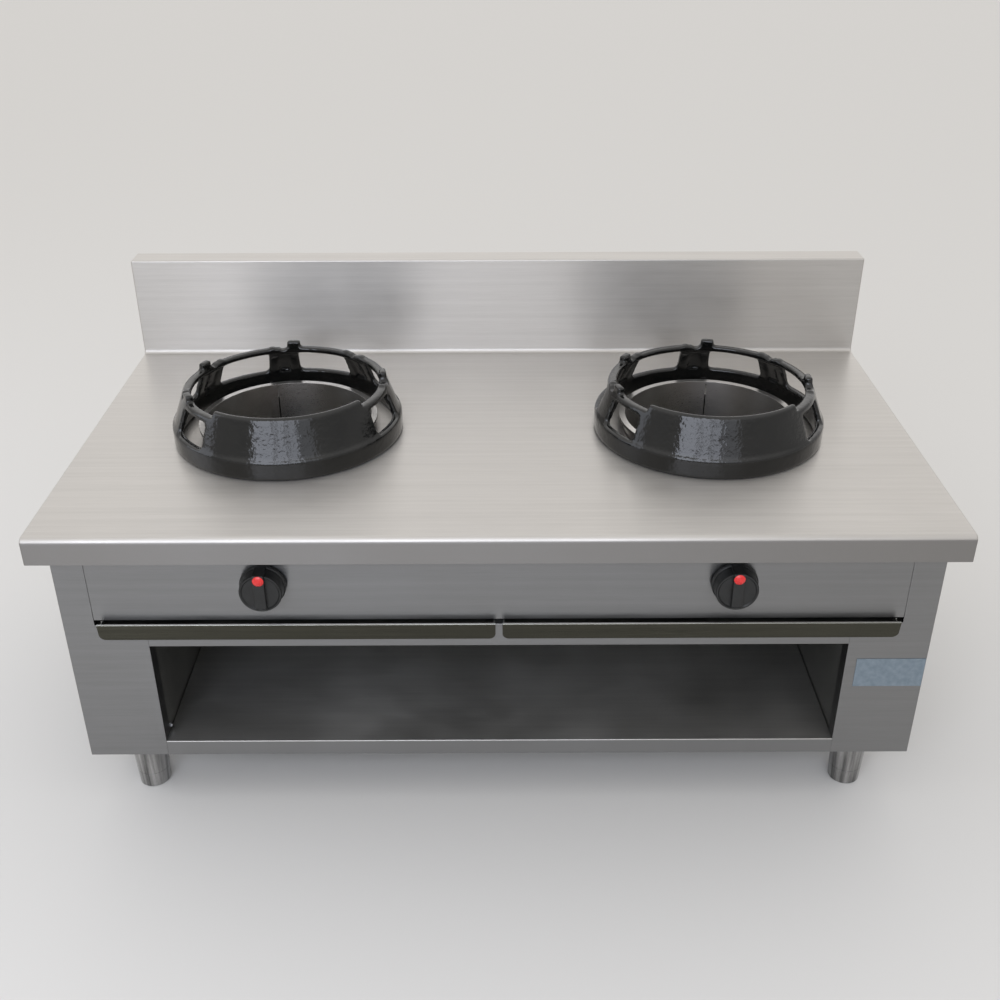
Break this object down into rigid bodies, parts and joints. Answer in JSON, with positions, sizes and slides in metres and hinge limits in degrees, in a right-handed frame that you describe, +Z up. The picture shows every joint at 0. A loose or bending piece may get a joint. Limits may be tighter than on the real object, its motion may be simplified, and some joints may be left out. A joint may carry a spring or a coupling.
{
  "type": "wok range",
  "caption": "Low stainless steel gas wok range with cast rings over open burners, control knobs, drip trays, storage compartment, splashback and adjustable legs.",
  "frame": {"origin": "on the floor, under the middle of the whole range", "axes": "+X to the right along the front as the cook sees it, +Y towards the splashback, +Z up"},
  "size_m": [1.4, 0.765, 0.738],
  "materials": {
    "brushed_stainless": "fine brushed, long grain",
    "plain_stainless": "mill finish sheet",
    "black_enamelled_iron": "glossy black vitreous enamel over rough casting",
    "raw_cast_iron": "as cast, heat darkened",
    "black_knob_plastic": "satin moulded heat resistant plastic",
    "red_marker_plastic": "glossy moulded",
    "gas_brass": "machined, dulled",
    "gas_pipe_steel": "zinc plated pipe",
    "plate_aluminium": "thin satin plate, bare"
  },
  "bodies": {
    "cabinet": {"worktop": "brushed_stainless", "splashback_rear_panel": "plain_stainless", "rear_panel": "plain_stainless", "control_fascia": "brushed_stainless", "crossbar": "brushed_stainless", "base_shelf": "brushed_stainless", "tray_runner_centre": "plain_stainless", "gas_manifold": "gas_pipe_steel", "gas_supply_pipe": "gas_pipe_steel", "gas_inlet_fitting": "gas_brass", "rating_plate": "plate_aluminium", "leg_bolts": "plain_stainless", "rear_panel_screws": "plain_stainless", "liner_cap_nut": "plain_stainless", "side_panel_left": "brushed_stainless", "side_liner_left": "plain_stainless", "tray_runner_left": "plain_stainless", "burner_sleeve_left": "brushed_stainless", "burner_support_left": "plain_stainless", "burner_body_left": "raw_cast_iron", "injector_left": "gas_brass", "burner_gas_pipe_left": "gas_pipe_steel", "pilot_burner_left": "plain_stainless", "thermocouple_left": "plain_stainless", "gas_valve_left": "gas_brass", "leg_front_left": "brushed_stainless", "leg_rear_left": "brushed_stainless", "side_panel_right": "brushed_stainless", "side_liner_right": "plain_stainless", "tray_runner_right": "plain_stainless", "burner_sleeve_right": "brushed_stainless", "burner_support_right": "plain_stainless", "burner_body_right": "raw_cast_iron", "injector_right": "gas_brass", "burner_gas_pipe_right": "gas_pipe_steel", "pilot_burner_right": "plain_stainless", "thermocouple_right": "plain_stainless", "gas_valve_right": "gas_brass", "leg_front_right": "brushed_stainless", "leg_rear_right": "brushed_stainless"},
    "wok_ring_body_left": {"wok_ring_left": "black_enamelled_iron"},
    "burner_head_body_left": {"burner_head_left": "raw_cast_iron"},
    "valve_push_left": {"valve_plunger_left": "plain_stainless"},
    "knob_left": {"valve_spindle_left": "plain_stainless", "control_knob_left": "black_knob_plastic", "knob_marker_left": "red_marker_plastic"},
    "tray_left": {"drip_tray_left": "plain_stainless", "tray_handle_left": "brushed_stainless"},
    "foot_body_front_left": {"foot_front_left": "brushed_stainless"},
    "foot_body_rear_left": {"foot_rear_left": "brushed_stainless"},
    "wok_ring_body_right": {"wok_ring_right": "black_enamelled_iron"},
    "burner_head_body_right": {"burner_head_right": "raw_cast_iron"},
    "valve_push_right": {"valve_plunger_right": "plain_stainless"},
    "knob_right": {"valve_spindle_right": "plain_stainless", "control_knob_right": "black_knob_plastic", "knob_marker_right": "red_marker_plastic"},
    "tray_right": {"drip_tray_right": "plain_stainless", "tray_handle_right": "brushed_stainless"},
    "foot_body_front_right": {"foot_front_right": "brushed_stainless"},
    "foot_body_rear_right": {"foot_rear_right": "brushed_stainless"}
  },
  "joints": [
    {"name": "wok_ring_lift_left", "type": "slide", "parent": "cabinet", "child": "wok_ring_body_left", "axis": [0, 0, 1], "range_m": [0, 0.15]},
    {"name": "burner_head_lift_left", "type": "slide", "parent": "cabinet", "child": "burner_head_body_left", "axis": [0, 0, 1], "range_m": [0, 0.15]},
    {"name": "knob_push_left", "type": "slide", "parent": "cabinet", "child": "valve_push_left", "axis": [0, 1, 0], "range_m": [0, 0.005], "stiffness_N_per_m": 1500, "springref_m": -0.004},
    {"name": "knob_turn_left", "type": "hinge", "parent": "valve_push_left", "child": "knob_left", "pos_m": [-0.359, -0.36, 0.4485], "axis": [0, -1, 0], "range_deg": [0, 270]},
    {"name": "tray_slide_left", "type": "slide", "parent": "cabinet", "child": "tray_left", "axis": [0, -1, 0], "range_m": [0, 0.45]},
    {"name": "foot_screw_front_left", "type": "slide", "parent": "cabinet", "child": "foot_body_front_left", "axis": [0, 0, -1], "range_m": [0, 0.025]},
    {"name": "foot_screw_rear_left", "type": "slide", "parent": "cabinet", "child": "foot_body_rear_left", "axis": [0, 0, -1], "range_m": [0, 0.025]},
    {"name": "wok_ring_lift_right", "type": "slide", "parent": "cabinet", "child": "wok_ring_body_right", "axis": [0, 0, 1], "range_m": [0, 0.15]},
    {"name": "burner_head_lift_right", "type": "slide", "parent": "cabinet", "child": "burner_head_body_right", "axis": [0, 0, 1], "range_m": [0, 0.15]},
    {"name": "knob_push_right", "type": "slide", "parent": "cabinet", "child": "valve_push_right", "axis": [0, 1, 0], "range_m": [0, 0.005], "stiffness_N_per_m": 1500, "springref_m": -0.004},
    {"name": "knob_turn_right", "type": "hinge", "parent": "valve_push_right", "child": "knob_right", "pos_m": [0.359, -0.36, 0.4485], "axis": [0, -1, 0], "range_deg": [0, 270]},
    {"name": "tray_slide_right", "type": "slide", "parent": "cabinet", "child": "tray_right", "axis": [0, -1, 0], "range_m": [0, 0.45]},
    {"name": "foot_screw_front_right", "type": "slide", "parent": "cabinet", "child": "foot_body_front_right", "axis": [0, 0, -1], "range_m": [0, 0.025]},
    {"name": "foot_screw_rear_right", "type": "slide", "parent": "cabinet", "child": "foot_body_rear_right", "axis": [0, 0, -1], "range_m": [0, 0.025]}
  ]
}
